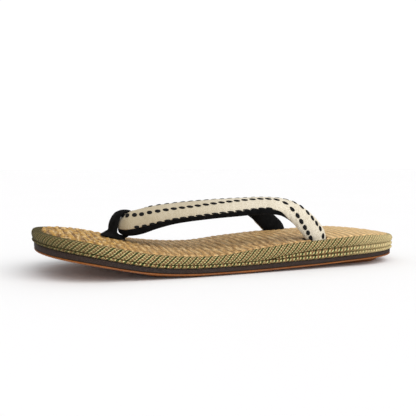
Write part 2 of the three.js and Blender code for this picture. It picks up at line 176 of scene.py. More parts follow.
HOLES = table("at out long wide", (51, 0, 4.3, 4.3), (185.4, -33, 9.2, 5.2), (182.8, 33.1, 9.8, 5.4))
HOLE_DEPTH = 4
HOLE_HEADROOM = 10  # how far the holes' cutters stand over the top edge

plain_half = column(HALF_WIDTHS, "half")
top_edge = column(STATIONS, "top")
base_height = column(STATIONS, "base")
layer = {name: column(STATIONS, name) for name in ("outsole", "foam", "welt", "wedge")}


def outsole_top(at, out=0):
    return base_height(at) + layer["outsole"](at)


def foam_top(at, out=0):
    return outsole_top(at) + layer["foam"](at)


def welt_top(at, out=0):
    return foam_top(at) + layer["welt"](at)


def wedge_top(at, out=0):
    return welt_top(at) + layer["wedge"](at)


def rounding(distance, end):
    if distance >= end["reach"]:
        return 1
    return (1 - (1 - max(distance, 0) / end["reach"]) ** end["power"]) ** (1 / end["power"])


def half_width(at):
    return plain_half(at) * rounding(at, TOE_ROUND) * rounding(LENGTH - at, HEEL_ROUND)


def sole_outline(turn):
    """The sole's outline, once round it from the toe along the -Y side."""
    at = LENGTH * (1 - math.cos(turn)) / 2
    side = -1 if math.sin(turn) > 0 else 1
    return Vector((at, side * half_width(at)))


def pad_outline(pad):
    """The outline of a tread pad: the sole's own, between two places, with round corners."""

    def outline(turn):
        at = mix(pad["front"], pad["back"], (1 - math.cos(turn)) / 2)
        ends = rounding(at - pad["front"], PAD_CORNER) * rounding(pad["back"] - at, PAD_CORNER)
        side = -1 if math.sin(turn) > 0 else 1
        return Vector((at, side * (half_width(at) - pad["inset"]) * ends))

    return outline


def even_walk(outline, columns):
    """Evenly spaced steps round an outline, as pairs of turn and distance walked."""
    fine = columns * 8
    turns = [2 * math.pi * i / fine for i in range(fine + 1)]
    points = [outline(turn) for turn in turns]
    walked = [0]
    for a, b in zip(points, points[1:]):
        walked.append(walked[-1] + (b - a).length)
    steps = []
    for i in range(columns + 1):
        goal = walked[-1] * i / columns
        k = min(fine - 1, max(0, bisect_right(walked, goal) - 1))
        share = (goal - walked[k]) / max(walked[k + 1] - walked[k], 1e-9)
        steps.append((mix(turns[k], turns[k + 1], min(1, share)), goal))
    return steps


def inwards(outline, turn):
    """The direction from a point of an outline to the sole's inside."""
    nudge = 0.01
    along = outline(turn + nudge) - outline(turn - nudge)
    return Vector((-along.y, along.x)).normalized()


def inset_point(outline, turn, inwards_here, inset):
    """A point moved in from the outline, and past PARALLEL drawn to the centre line."""
    point = outline(turn) + inwards_here * min(inset, PARALLEL)
    if inset <= PARALLEL:
        return point
    front, back = outline(0).x + SPINE_END, outline(math.pi).x - SPINE_END
    spine = Vector((min(max(point.x, front), back), 0))
    return point.lerp(spine, (inset - PARALLEL) / (SPINE - PARALLEL))


def toe_inset(at):
    return MAT["toe_inset"] * (1 - smooth(at, 0, MAT["toe_reach"]))


def mat_top(at, out):
    """The straw's height, level with the rim at its edge and crowned across the foot."""
    across = min(1, abs(out) / max(1, half_width(at) - MAT["inset"]))
    ends = smooth(min(at, LENGTH - at), 0, CROWN_FADE)
    return top_edge(at) + MAT["rise"] + MAT["crown"] * ends * (1 - across**2)


def mat_bottom(at, out=0):
    return top_edge(at) + MAT["rise"] - MAT["thick"]


def lifted(height, lift):
    """The heights of a surface moved up by a distance, or down by a negative one."""

    def moved(at, out=0):
        return height(at, out) + lift

    return moved


def between(low, high, share):
    """The heights a share of the way up from one surface to another."""

    def level(at, out=0):
        return mix(low(at, out), high(at, out), share)

    return level


OUTLINE_LENGTH = even_walk(sole_outline, 400)[-1][1]


# ---- making pieces ------------------------------------------------------
def ring(inset, height, follow=None, steps=1):
    """A ring of a layer; steps is how finely it is joined to the ring before it."""
    return {"inset": inset, "height": height, "follow": follow, "steps": steps}


def sole_layer(rings, columns, outline=sole_outline, first_seen=0, last_seen=None):
    """A closed layer of the sole, from the middle of its top over the edge to the middle of
    its underside. Its UV map "cloth" holds the distance round the outline, and the distance up
    the cloth from the last seen ring, in millimetres; "seen" is 1 between the two rings."""
    last_seen = len(rings) - 1 if last_seen is None else last_seen
    places = [0.0]
    for i, each in enumerate(rings[1:]):
        places += [i + (k + 1) / each["steps"] for k in range(each["steps"])]
    bm = bmesh.new()
    seen = bm.verts.layers.float.new("seen")
    uv = bm.loops.layers.uv.new("cloth")
    bmesh.ops.create_grid(bm, x_segments=columns, y_segments=len(places) - 1, size=1)
    walk = even_walk(outline, columns)
    grid = [[None] * len(places) for _ in walk]
    for vert in bm.verts:
        i = round((vert.co.x + 1) / 2 * columns)
        k = round((1 - vert.co.y) / 2 * (len(places) - 1))
        grid[i][k] = vert
    cloth = {}
    for (turn, distance), verts in zip(walk, grid):
        here, edge_at = inwards(outline, turn), outline(turn).x
        knots = []
        for each in rings:
            extra = each["follow"](edge_at) if each["follow"] else 0
            inset = min(each["inset"] + extra, SPINE)
            flat = inset_point(outline, turn, here, inset)
            knots.append(Vector((inset, each["height"](flat.x, flat.y), 0)))
        profile = [spline(knots, place) for place in places]
        girth = [0.0]
        for a, b in zip(profile, profile[1:]):
            girth.append(girth[-1] + (b - a).length)
        foot = girth[places.index(float(last_seen))]
        for vert, place, spot, run in zip(verts, places, profile, girth):
            flat = inset_point(outline, turn, here, min(spot.x, SPINE))
            vert.co = Vector((flat.x - LENGTH / 2, flat.y, spot.y)) * MM
            vert[seen] = smooth(place, first_seen - 0.5, first_seen) * (
                1 - smooth(place, last_seen, last_seen + 0.5)
            )
            cloth[vert] = (distance, foot - run)
    for face in bm.faces:
        for loop in face.loops:
            loop[uv].uv = cloth[loop.vert]
    bmesh.ops.remove_doubles(bm, verts=bm.verts, dist=0.002 * MM)
    bmesh.ops.recalc_face_normals(bm, faces=bm.faces)
    return bm


def slab(bottom, top, edge, fine=4):
    """The rings of a plain layer between two heights, with its side swollen or square."""

    def part(share):
        def height(at, out):
            return mix(bottom(at) + GAP / 2, top(at) - GAP / 2, share)

        return height

    inset, corner, bulge = edge
    return [
        ring(SPINE, part(1)),
        ring(INNER_RING, part(1)),
        ring(inset + corner + 2, part(1)),
        ring(inset + corner, part(1), steps=2),
        ring(inset, part(0.78), steps=fine),
        ring(inset - bulge, part(0.5), steps=fine),
        ring(inset, part(0.22), steps=fine),
        ring(inset + corner, part(0), steps=fine),
        ring(inset + corner + 2, part(0), steps=2),
        ring(INNER_RING, part(0)),
        ring(SPINE, part(0)),
    ]


def emboss(bm, relief):
    """Moves the surface along its normals by relief(place, cloth, seen), in millimetres."""
    bm.normal_update()
    seen = bm.verts.layers.float["seen"]
    uv = bm.loops.layers.uv["cloth"]
    moves = []
    for vert in bm.verts:
        spot = vert.co / MM + Vector((LENGTH / 2, 0, 0))
        moves.append(relief(spot, vert.link_loops[0][uv].uv, vert[seen]))
    for vert, move in zip(bm.verts, moves):
        vert.co += vert.normal * (move * MM)


def finish_piece(name, bm, material, replaces=()):
    """Turns a bmesh into a smooth piece of the sandal that rides on the body."""
    mesh = bpy.data.meshes.new(name)
    bm.to_mesh(mesh)
    bm.free()
    mesh.shade_smooth()
    mesh.materials.append(material)
    piece = bpy.data.objects.new(name, mesh)
    bpy.context.scene.collection.objects.link(piece)
    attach(piece, "root")
    if replaces:
        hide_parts(*replaces)
    return piece


def bake_modifiers(piece):
    """Applies a piece's modifiers to its mesh."""
    depsgraph = bpy.context.evaluated_depsgraph_get()
    mesh = bpy.data.meshes.new_from_object(piece.evaluated_get(depsgraph))
    piece.modifiers.clear()
    old, piece.data = piece.data, mesh
    mesh.name = piece.name
    bpy.data.meshes.remove(old)


def cut_holes(piece, depth):
    """Cuts the strap's three holes, open at the top, down to a depth below the mat."""
    bm = bmesh.new()
    for hole in HOLES:
        bottom = mat_bottom(hole["at"]) - depth
        height = top_edge(hole["at"]) + HOLE_HEADROOM - bottom
        place = Vector((hole["at"] - LENGTH / 2, hole["out"], bottom + height / 2)) * MM
        size = Vector((hole["long"], hole["wide"], height)) * MM
        bmesh.ops.create_cone(
            bm, cap_ends=True, segments=40, radius1=1, radius2=1, depth=1,
            matrix=Matrix.LocRotScale(place, None, size),
        )
    mesh = bpy.data.meshes.new("hole_cutter")
    bm.to_mesh(mesh)
    bm.free()
    cutter = bpy.data.objects.new("hole_cutter", mesh)
    bpy.context.scene.collection.objects.link(cutter)
    cut = piece.modifiers.new("holes", "BOOLEAN")
    cut.operation, cut.solver, cut.object = "DIFFERENCE", "EXACT", cutter
    bake_modifiers(piece)
    bpy.data.objects.remove(cutter)
    bpy.data.meshes.remove(mesh)


# ---- building materials -------------------------------------------------
def opaque(colour):
    """A colour with full alpha; a socket stays as it is."""
    return colour if isinstance(colour, bpy.types.NodeSocket) else (*colour, 1)


class Nodes:
    """Adds shader nodes to a tree; a value that is a socket is linked."""

    def __init__(self, tree):
        self.tree = tree

    def put(self, socket, value):
        if isinstance(value, bpy.types.NodeSocket):
            self.tree.links.new(value, socket)
        else:
            socket.default_value = value

    def add(self, kind, values=(), **settings):
        node = self.tree.nodes.new(kind)
        for name, setting in settings.items():
            setattr(node, name, setting)
        for name, value in dict(values).items():
            self.put(node.inputs[name], value)
        return node

    def math(self, operation, *values):
        node = self.add("ShaderNodeMath", dict(enumerate(values)), operation=operation)
        return node.outputs[0]

    def ramp(self, value, low, high, start=0.0, end=1.0):
        """start below low, end above high, and an even ramp between them."""
        values = {"Value": value, "From Min": low, "From Max": high, "To Min": start, "To Max": end}
        node = self.add("ShaderNodeMapRange", values, interpolation_type="SMOOTHSTEP")
        return node.outputs["Result"]

    def mix(self, share, first, second, blend="MIX"):
        values = {0: share, 6: opaque(first), 7: opaque(second)}
        node = self.add("ShaderNodeMix", values, data_type="RGBA", blend_type=blend)
        return node.outputs[2]

    def along_sole(self, start, end):
        """0 at one distance from the toe, 1 at another, and an even ramp between them."""
        x = self.add("ShaderNodeSeparateXYZ", {0: self.place()}).outputs[0]
        return self.ramp(x, *((at - LENGTH / 2) * MM for at in (start, end)))

    def stretched(self, vector, scale):
        return self.add("ShaderNodeMapping", {"Vector": vector, "Scale": scale}).outputs[0]

    def noise(self, vector, scale, detail=2.0, roughness=0.5):
        values = {"Vector": vector, "Scale": scale, "Detail": detail, "Roughness": roughness}
        return self.add("ShaderNodeTexNoise", values).outputs["Fac"]

    def group(self, tree, values):
        node = self.add("ShaderNodeGroup", node_tree=tree)
        for name, value in values.items():
            self.put(node.inputs[name], value)
        return node.outputs

    def attribute(self, name):
        return self.add("ShaderNodeAttribute", attribute_name=name).outputs["Fac"]

    def cloth(self):
        return self.add("ShaderNodeUVMap", uv_map="cloth").outputs[0]

    def place(self):
        return self.add("ShaderNodeTexCoord").outputs["Object"]

    def bump(self, height, distance, strength=1.0, normal=None):
        values = {"Height": height, "Distance": distance, "Strength": strength}
        if normal:
            values["Normal"] = normal
        return self.add("ShaderNodeBump", values).outputs[0]


def node_group(name, inputs, outputs, fill):
    """A shader node group with named inputs and outputs, built once."""
    if name in bpy.data.node_groups:
        return bpy.data.node_groups[name]
    tree = bpy.data.node_groups.new(name, "ShaderNodeTree")
    for label, value in inputs.items():
        kind = "NodeSocketVector" if value is None else "NodeSocketFloat"
        socket = tree.interface.new_socket(label, in_out="INPUT", socket_type=kind)
        if value is not None:
            socket.default_value = value
    for label in outputs:
        tree.interface.new_socket(label, in_out="OUTPUT", socket_type="NodeSocketFloat")
    nodes = Nodes(tree)
    sockets = fill(nodes, nodes.add("NodeGroupInput").outputs)
    nodes.add("NodeGroupOutput", dict(zip(outputs, sockets)))
    return tree


def strand_weave():
    """Slanted strands in pairs on a cloth map in millimetres: a first, a second, and a gap.
    Dots run along the first strand, and wider ones along the second."""

    def fill(nodes, given):
        spot = nodes.add("ShaderNodeSeparateXYZ", {0: given["Cloth"]})
        wobble = nodes.noise(given["Cloth"], 0.5, 1)
        lean = nodes.math("MULTIPLY", spot.outputs[1], given["Lean"])
        run = nodes.math("ADD", nodes.math("SUBTRACT", spot.outputs[0], lean), wobble)
        row = nodes.math("DIVIDE", run, given["Pitch"])
        phase, number = nodes.math("FRACT", row), nodes.math("FLOOR", row)
        first_off = nodes.math("ABSOLUTE", nodes.math("SUBTRACT", phase, 0.30))
        second_off = nodes.math("ABSOLUTE", nodes.math("SUBTRACT", phase, 0.75))
        first = nodes.ramp(first_off, 0.25, 0.17)
        second = nodes.ramp(second_off, 0.18, 0.11)
        chance = nodes.add("ShaderNodeTexWhiteNoise", {"W": number}, noise_dimensions="1D")
        shift = nodes.math("MULTIPLY", chance.outputs[0], 0.35)
        step = nodes.math("ADD", nodes.math("DIVIDE", spot.outputs[1], given["Dot"]), shift)
        dot_off = nodes.math("ABSOLUTE", nodes.math("SUBTRACT", nodes.math("FRACT", step), 0.5))
        dot = nodes.ramp(dot_off, 0.32, 0.20)
        height = nodes.math("MAXIMUM", first, nodes.math("MULTIPLY", second, 0.8))
        return first, second, height, dot, nodes.math("PINGPONG", number, 1.0)

    inputs = {"Cloth": None, "Pitch": 2.4, "Lean": 0.8, "Dot": 1.2}
    outputs = ("First", "Second", "Height", "Dot", "Odd")
    return node_group("strand_weave", inputs, outputs, fill)


def fibre_grain():
    """Long thin fibres that run along Y of the vector: streaks, and a coarser unevenness."""

    def fill(nodes, given):
        fine = nodes.noise(nodes.stretched(given["Vector"], (1, 0.05, 1)), given["Fineness"], 3, 0.6)
        coarse = nodes.noise(nodes.stretched(given["Vector"], (0.3, 0.03, 0.3)), given["Fineness"], 2)
        streak = nodes.ramp(fine, 0.32, 0.68)
        return streak, nodes.ramp(coarse, 0.3, 0.7), fine

    return node_group("fibre_grain", {"Vector": None, "Fineness": 1.0}, ("Streak", "Patch", "Height"), fill)


def handled_surface():
    """Faint soil and unevenness, as broad patches and as fine specks."""

    def fill(nodes, given):
        broad = nodes.noise(given["Vector"], given["Scale"], 3, 0.55)
        specks = nodes.noise(given["Vector"], nodes.math("MULTIPLY", given["Scale"], 22.0), 2, 0.6)
        return nodes.ramp(broad, 0.3, 0.7), nodes.ramp(specks, 0.45, 0.62)

    return node_group("handled_surface", {"Vector": None, "Scale": 30.0}, ("Patch", "Speck"), fill)


def thread_cloth():
    """A plain weave of crossing threads on a cloth map in millimetres."""

    def fill(nodes, given):
        values = {0: given["Cloth"], "Scale": given["Count"]}
        fine = nodes.add("ShaderNodeVectorMath", values, operation="SCALE")
        spot = nodes.add("ShaderNodeSeparateXYZ", {0: fine.outputs[0]})
        warp = nodes.math("SINE", nodes.math("MULTIPLY", spot.outputs[0], math.tau))
        weft = nodes.math("SINE", nodes.math("MULTIPLY", spot.outputs[1], math.tau))
        height = nodes.math("MULTIPLY", nodes.math("ADD", nodes.math("MULTIPLY", warp, weft), 1.0), 0.5)
        slub = nodes.noise(nodes.stretched(given["Cloth"], (1.2, 0.12, 1)), 1.0, 2)
        return height, nodes.ramp(slub, 0.35, 0.65)

    return node_group("thread_cloth", {"Cloth": None, "Count": 1.2}, ("Height", "Slub"), fill)


def new_material(name, **constants):
    """A material with one Principled shader, and the tools to build on it."""
    material = bpy.data.materials.new(name)
    material.use_nodes = True
    nodes = Nodes(material.node_tree)
    shader = material.node_tree.nodes["Principled BSDF"]
    for socket, value in constants.items():
        shader.inputs[socket.replace("_", " ").title().replace("Ior", "IOR")].default_value = value
    return material, nodes, shader


def straw_finish(colours):
    """Rush straw: golden at the toe, partly painted light on its slope, and browner behind, with painted
    highlights on the toe's tuft crests and painted shade in the grooves between the ribs.
    """
    material, nodes, shader = new_material("straw_rush", specular_ior_level=0.35)
    place = nodes.place()
    grain = nodes.group(fibre_grain(), {"Vector": place, "Fineness": 2400.0})
    soil = nodes.group(handled_surface(), {"Vector": place, "Scale": 55.0})
    # The golden toe is partly painted light, where the toe slopes towards the lamps.
    behind_toe = nodes.along_sole(34, 74)
    to_heel = nodes.along_sole(165, 225)
    dull = nodes.mix(grain["Streak"], colours.straw_dark, colours.straw_tan)
    # Painted highlights: the straw's crests turn gold and their hollows amber, mixed with real streaks.
    crest = nodes.attribute("crest")
    lit_crests_and_streaks = nodes.math("MULTIPLY_ADD", grain["Streak"], 0.35, nodes.ramp(crest, 0.3, 0.9, 0, 0.65))
    bright = nodes.mix(lit_crests_and_streaks, colours.straw_amber, colours.straw_gold)
    light = nodes.mix(grain["Streak"], colours.straw_tan, colours.straw_pale)
    base = nodes.mix(behind_toe, bright, dull)
    base = nodes.mix(nodes.math("MULTIPLY", to_heel, 0.75), base, light)
    pale = nodes.math("MULTIPLY", nodes.ramp(grain["Patch"], 0.55, 0.95), 0.6)
    base = nodes.mix(pale, base, colours.straw_pale)
    # Painted shade in the grooves between the ribs.
    groove = nodes.math("SUBTRACT", 1.0, crest)
    base = nodes.mix(nodes.math("MULTIPLY", groove, 0.75), base, colours.straw_shadow_and_soil)
    # Real soil specks, in the same dark colour as the groove shade.
    base = nodes.mix(nodes.math("MULTIPLY", soil["Speck"], 0.18), base, colours.straw_shadow_and_soil)
    nodes.put(shader.inputs["Base Color"], base)
    nodes.put(shader.inputs["Roughness"], nodes.ramp(grain["Streak"], 0, 1, 0.75, 0.5))
    nodes.put(shader.inputs["Normal"], nodes.bump(grain["Height"], 0.0004, 0.8))
    return material


def tape_finish(name, colours, pitch, lean, dot):
    """Slanted strands, cream with red-brown dots and green; painted shade makes them olive round the toe,
    and painted light makes them beige round the heel."""
    material, nodes, shader = new_material(name, roughness=0.8, specular_ior_level=0.25)
    cloth, place = nodes.cloth(), nodes.place()
    settings = {"Cloth": cloth, "Pitch": pitch, "Lean": lean, "Dot": dot}
    weave = nodes.group(strand_weave(), settings)
    grain = nodes.group(fibre_grain(), {"Vector": cloth, "Fineness": 2.6})
    soil = nodes.group(handled_surface(), {"Vector": place, "Scale": 60.0})
    # Painted shade on the tape round the toe, and painted light round the heel.
    toe_shade_share = nodes.along_sole(52, 8)
    heel_light_share = nodes.along_sole(196, 250)
    cream, red = colours.tape_cream, colours.tape_red
    green, gap = colours.tape_green, colours.tape_shadow
    dotted = nodes.mix(nodes.math("MULTIPLY", weave["Dot"], 0.8), cream, red)
    speckled = nodes.mix(nodes.math("MULTIPLY", weave["Dot"], 0.55), red, cream)
    second = nodes.mix(weave["Odd"], green, speckled)
    strands = nodes.mix(weave["Second"], gap, second)
    strands = nodes.mix(weave["First"], strands, dotted)
    # Painted shade round the toe: olive strands with dark gaps between them.
    darkening = nodes.mix(weave["Height"], gap, colours.tape_olive)
    strands = nodes.mix(nodes.math("MULTIPLY", toe_shade_share, 0.62), strands, darkening)
    # Painted light round the heel: beige strands with olive between them.
    lit_heel_strands = nodes.mix(weave["Height"], colours.tape_olive, colours.tape_beige)
    strands = nodes.mix(nodes.math("MULTIPLY", heel_light_share, 0.72), strands, lit_heel_strands)
    strands = nodes.mix(nodes.math("MULTIPLY", grain["Streak"], 0.25), strands, colours.tape_olive)
    base = nodes.mix(nodes.math("MULTIPLY", soil["Patch"], 0.2), strands, colours.tape_olive)
    nodes.put(shader.inputs["Base Color"], base)
    threads = nodes.math("MULTIPLY_ADD", weave["Dot"], 0.35, weave["Height"])
    threads = nodes.math("MULTIPLY_ADD", grain["Height"], 0.25, threads)
    nodes.put(shader.inputs["Normal"], nodes.bump(threads, 0.0005, 0.9))
    return material


def foam_finish(colours):
    """Dark brown foam with fine closed cells and paler scuffs."""
    material, nodes, shader = new_material("brown_foam", specular_ior_level=0.3)
    place = nodes.place()
    soil = nodes.group(handled_surface(), {"Vector": place, "Scale": 70.0})
    cells = nodes.add("ShaderNodeTexVoronoi", {"Vector": place, "Scale": 1400.0}).outputs["Distance"]
    base = nodes.mix(soil["Patch"], colours.foam_dark, colours.foam_brown)
    base = nodes.mix(nodes.math("MULTIPLY", soil["Speck"], 0.35), base, colours.foam_speck)
    nodes.put(shader.inputs["Base Color"], base)
    nodes.put(shader.inputs["Roughness"], nodes.ramp(soil["Patch"], 0, 1, 0.7, 0.9))
    nodes.put(shader.inputs["Normal"], nodes.bump(cells, 0.0003, 0.6))
    return material


def rubber_finish(name, colours, tread):
    """Amber rubber, smooth on the sheet and finely ribbed across a tread pad."""
    material, nodes, shader = new_material(name, specular_ior_level=0.3)
    place = nodes.place()
    soil = nodes.group(handled_surface(), {"Vector": place, "Scale": 40.0})
    base = nodes.mix(soil["Patch"], colours.rubber_deep, colours.rubber_amber)
    base = nodes.mix(nodes.math("MULTIPLY", soil["Speck"], 0.2), base, colours.rubber_scuff)
    x = nodes.add("ShaderNodeSeparateXYZ", {0: place}).outputs[0]
    ribs = nodes.math("PINGPONG", nodes.math("DIVIDE", x, tread), 1.0)
    height = nodes.math("MULTIPLY_ADD", soil["Speck"], 0.3, nodes.ramp(ribs, 0.3, 0.7))
    nodes.put(shader.inputs["Base Color"], base)
    nodes.put(shader.inputs["Roughness"], nodes.ramp(soil["Patch"], 0, 1, 0.38, 0.6))
    nodes.put(shader.inputs["Normal"], nodes.bump(height, 0.0002, 0.5))
    return material


def strap_cloth_finish(colours):
    """Cream cotton with a visible plain weave, slubs and a little soil, and painted shade that darkens it
    towards the strap's front.
    """
    material, nodes, shader = new_material(
        "cream_cotton", roughness=0.9, specular_ior_level=0.2, sheen_weight=0.15, sheen_roughness=0.5
    )
    cloth, place = nodes.cloth(), nodes.place()
    threads = nodes.group(thread_cloth(), {"Cloth": cloth, "Count": 0.9})
    soil = nodes.group(handled_surface(), {"Vector": place, "Scale": 60.0})
    # Painted shade: the cloth darkens towards the strap's front.
    front = nodes.along_sole(166, 60)
    flecks = nodes.noise(cloth, 1.6, 3, 0.7)
    thread = colours.cloth_thread
    base = nodes.mix(nodes.math("MULTIPLY", threads["Height"], 0.4), colours.cloth_cream, thread)
    base = nodes.mix(nodes.math("MULTIPLY", nodes.ramp(flecks, 0.46, 0.62), 0.75), base, thread)
    base = nodes.mix(nodes.math("MULTIPLY", threads["Slub"], 0.2), base, thread)
    # Painted shade towards the front, with a little real soil in patches.
    darkening = nodes.math("MULTIPLY_ADD", front, 0.6, nodes.math("MULTIPLY", soil["Patch"], 0.12))
    base = nodes.mix(darkening, base, colours.cloth_shade_and_soil)
    nodes.put(shader.inputs["Base Color"], base)
    height = nodes.math("MULTIPLY_ADD", threads["Slub"], 0.4, threads["Height"])
    nodes.put(shader.inputs["Normal"], nodes.bump(height, 0.00015, 0.6))
    return material


def velvet_finish(name, colours, pile):
    """Black pile: no shine, a faint grey bloom, and brushed patches."""
    material, nodes, shader = new_material(
        name, roughness=0.95, specular_ior_level=0.1, sheen_weight=0.08, sheen_roughness=0.4,
        sheen_tint=(*colours.velvet_bloom, 1),
    )
    place = nodes.place()
    soil = nodes.group(handled_surface(), {"Vector": place, "Scale": pile})
    base = nodes.mix(soil["Patch"], colours.velvet_black, colours.velvet_brushed)
    nodes.put(shader.inputs["Base Color"], base)
    height = nodes.math("MULTIPLY_ADD", soil["Patch"], 2.0, soil["Speck"])
    nodes.put(shader.inputs["Normal"], nodes.bump(height, 0.0002, 0.6))
    return material


# ---- the stage ----------------------------------------------------------
CAMERA = {"azimuth": -18.28, "elevation": 8.90, "distance": 0.449, "lens": 54.3, "shift": (-0.0375, 0.1357)}


def aim(thing, target=(0, 0, 0)):
    thing.rotation_euler = (Vector(target) - thing.location).to_track_quat("-Z", "Y").to_euler()


def add_light(name, place, softness, strength, colour=(1, 1, 1)):
    """A wide lamp far away; softness is how wide it looks, in degrees."""
    data = bpy.data.lights.new(name, "SUN")
    data.angle, data.energy, data.color = math.radians(softness), strength, colour
    light = bpy.data.objects.new(name, data)
    light.location = place
    aim(light)
    bpy.context.scene.collection.objects.link(light)


def add_camera():
    data = bpy.data.cameras.new("camera")
    data.lens, data.sensor_width = CAMERA["lens"], 36
    data.shift_x, data.shift_y = CAMERA["shift"]
    camera = bpy.data.objects.new("camera", data)
    a, e = math.radians(CAMERA["azimuth"]), math.radians(CAMERA["elevation"])
    back = Vector((math.sin(a) * math.cos(e), -math.cos(a) * math.cos(e), math.sin(e)))
    camera.location = back * CAMERA["distance"]
    aim(camera)
    bpy.context.scene.collection.objects.link(camera)
    bpy.context.scene.camera = camera


def add_floor(colour):
    bm = bmesh.new()
    bmesh.ops.create_grid(bm, x_segments=4, y_segments=4, size=15)
    mesh = bpy.data.meshes.new("floor")
    bm.to_mesh(mesh)
    bm.free()
    material, nodes, shader = new_material("pale_floor", roughness=0.9, specular_ior_level=0.1)
    soft = nodes.noise(nodes.place(), 6.0, 2)
    paler = [min(1, value * 1.02) for value in colour]
    nodes.put(shader.inputs["Base Color"], nodes.mix(soft, colour, paler))
    mesh.materials.append(material)
    floor = bpy.data.objects.new("floor", mesh)
    bpy.context.scene.collection.objects.link(floor)
    floor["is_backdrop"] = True


def light_studio(settings):
    """Soft light from a white room, with two wide lamps from the near side."""
    scene = bpy.context.scene
    scene.view_settings.view_transform = "Standard"
    world = bpy.data.worlds.new("studio")
    world.use_nodes = True
    nodes = Nodes(world.node_tree)
    background = world.node_tree.nodes["Background"]
    seen = nodes.add("ShaderNodeLightPath").outputs["Is Camera Ray"]
    nodes.put(background.inputs["Color"], (1, 1, 1, 1))
    nodes.put(background.inputs["Strength"], nodes.ramp(seen, 0, 1, settings.room_light, 1.05))
    scene.world = world
    add_light("heel_lamp", (0.5, -1.0, 0.95), 62, settings.lamp_strength, (1, 0.985, 0.96))
    add_light("top_lamp", (0.1, -0.9, 1.0), 85, settings.lamp_strength * 0.55)


# ---- settings -----------------------------------------------------------
def length_setting(label, description, millimetres):
    return FloatProperty(
        name=label, description=description, default=millimetres * MM, min=0.0, unit="LENGTH", precision=5
    )


def colour_setting(label, description, colour):
    return FloatVectorProperty(
        name=label, description=description, default=colour, min=0.0, max=1.0, subtype="COLOR"
    )


class ZoriSizes(bpy.types.PropertyGroup):
    """Sizes of the weave, the braid and the stitching."""

    rib_pitch: length_setting("Rib pitch", "Distance between the ribs of the straw mat", 4.9)
    rib_height: length_setting("Rib height", "How far the straw ribs stand up", 0.55)
    plait_pitch: length_setting("Plait pitch", "Length of one plait along a straw rib", 6.2)
    strand_pitch: length_setting("Strand pitch", "Distance between tape strands round the sole", 2.4)
    strand_height: length_setting("Strand height", "How far the tape's strands stand up", 0.22)
    cord_pitch: length_setting("Cord pitch", "Distance between strands of the lower cords", 2.5)
    stitch_pitch: length_setting("Stitch pitch", "Distance between running stitches", 5.2)
    stitch_length: length_setting("Stitch length", "Length of the thread that shows", 4.9)
    stitch_width: length_setting("Stitch width", "Width of the thread that shows", 2.1)
    pucker: length_setting("Pucker", "How far a stitch pulls the padding in", 0.35)


class ZoriColours(bpy.types.PropertyGroup):
    """Colours of the straw, tape, foam, rubber, cloth and velvet."""

    # Gold straw: the toe's straw, with painted light on its slope and on the tuft crests.
    straw_gold: colour_setting("Gold straw", "Bright straw at the toe", (0.68, 0.39, 0.085))
    # Amber straw: darker fibres at the toe, and painted shade in the hollows between the tufts.
    straw_amber: colour_setting("Amber straw", "Darker straw at the toe", (0.18, 0.082, 0.014))
    straw_tan: colour_setting("Tan straw", "Light straw behind the toe", (0.92, 0.57, 0.22))
    straw_dark: colour_setting("Dark straw", "Dark straw behind the toe", (0.24, 0.125, 0.038))
    straw_pale: colour_setting("Pale straw", "The palest straws", (0.95, 0.72, 0.38))
    # Straw shadow: painted shade in the grooves, and also the colour of soil specks.
    straw_shadow_and_soil: colour_setting("Straw shadow", "Grooves between ribs", (0.1, 0.045, 0.012))
    tape_cream: colour_setting("Tape cream", "Pale strands", (0.66, 0.6, 0.27))
    tape_red: colour_setting("Tape red", "Red brown dashes", (0.28, 0.095, 0.035))
    tape_green: colour_setting("Tape green", "Green strands", (0.024, 0.055, 0.008))
    # Tape olive: painted shade round the toe, and also the colour of the tape's streaks and soil.
    tape_olive: colour_setting("Tape olive", "Plain tape round the toe", (0.12, 0.092, 0.028))
    # Tape beige: painted light round the heel.
    tape_beige: colour_setting("Tape beige", "Plain tape round the heel", (0.98, 0.8, 0.42))
    tape_shadow: colour_setting("Tape shadow", "Gaps between strands", (0.008, 0.011, 0.002))
    foam_dark: colour_setting("Dark foam", "Foam", (0.013, 0.0065, 0.0045))
    foam_brown: colour_setting("Brown foam", "Foam", (0.026, 0.014, 0.01))
    foam_speck: colour_setting("Foam specks", "Open cells", (0.07, 0.048, 0.04))
    rubber_amber: colour_setting("Amber rubber", "Rubber", (0.23, 0.07, 0.009))
    rubber_deep: colour_setting("Deep rubber", "Darker rubber", (0.16, 0.043, 0.005))
    rubber_scuff: colour_setting("Scuffed rubber", "Scuffs", (0.36, 0.17, 0.06))
    cloth_cream: colour_setting("Cream cloth", "Strap cloth", (0.8, 0.745, 0.635))
    cloth_thread: colour_setting("Cloth threads", "Darker threads", (0.42, 0.36, 0.25))
    # Cloth shade and soil: painted shade towards the strap's front, and soil in patches.
    cloth_shade_and_soil: colour_setting("Cloth soil", "Soiled cloth", (0.3, 0.235, 0.125))
    velvet_black: colour_setting("Black velvet", "Velvet", (0.002, 0.002, 0.002))
    velvet_brushed: colour_setting("Brushed velvet", "Brushed velvet", (0.0055, 0.0055, 0.006))
    velvet_bloom: colour_setting("Velvet bloom", "Sheen of the pile", (0.20, 0.21, 0.24))
    thread_black: colour_setting("Black thread", "Stitches", (0.005, 0.005, 0.005))
    floor: colour_setting("Floor", "The pale floor", (0.86, 0.86, 0.87))


class ZoriLight(bpy.types.PropertyGroup):
    """Strengths of the studio's lights."""

    room_light: FloatProperty(name="Room light", description="Light from all round", default=0.6, min=0.0)
    lamp_strength: FloatProperty(
        name="Lamp strength", description="Strength of the main lamp", default=1.68, min=0.0
    )


# ---- the sole's pieces --------------------------------------------------
class ZORI_OT_stage(bpy.types.Operator):
    """Sets the camera, the floor and the studio lights"""

    bl_idname = "zori.stage"
    bl_label = "Stage"

    def execute(self, context):
        add_camera()
        add_floor(context.scene.zori_colours.floor)
        light_studio(context.scene.zori_light)
        return {"FINISHED"}


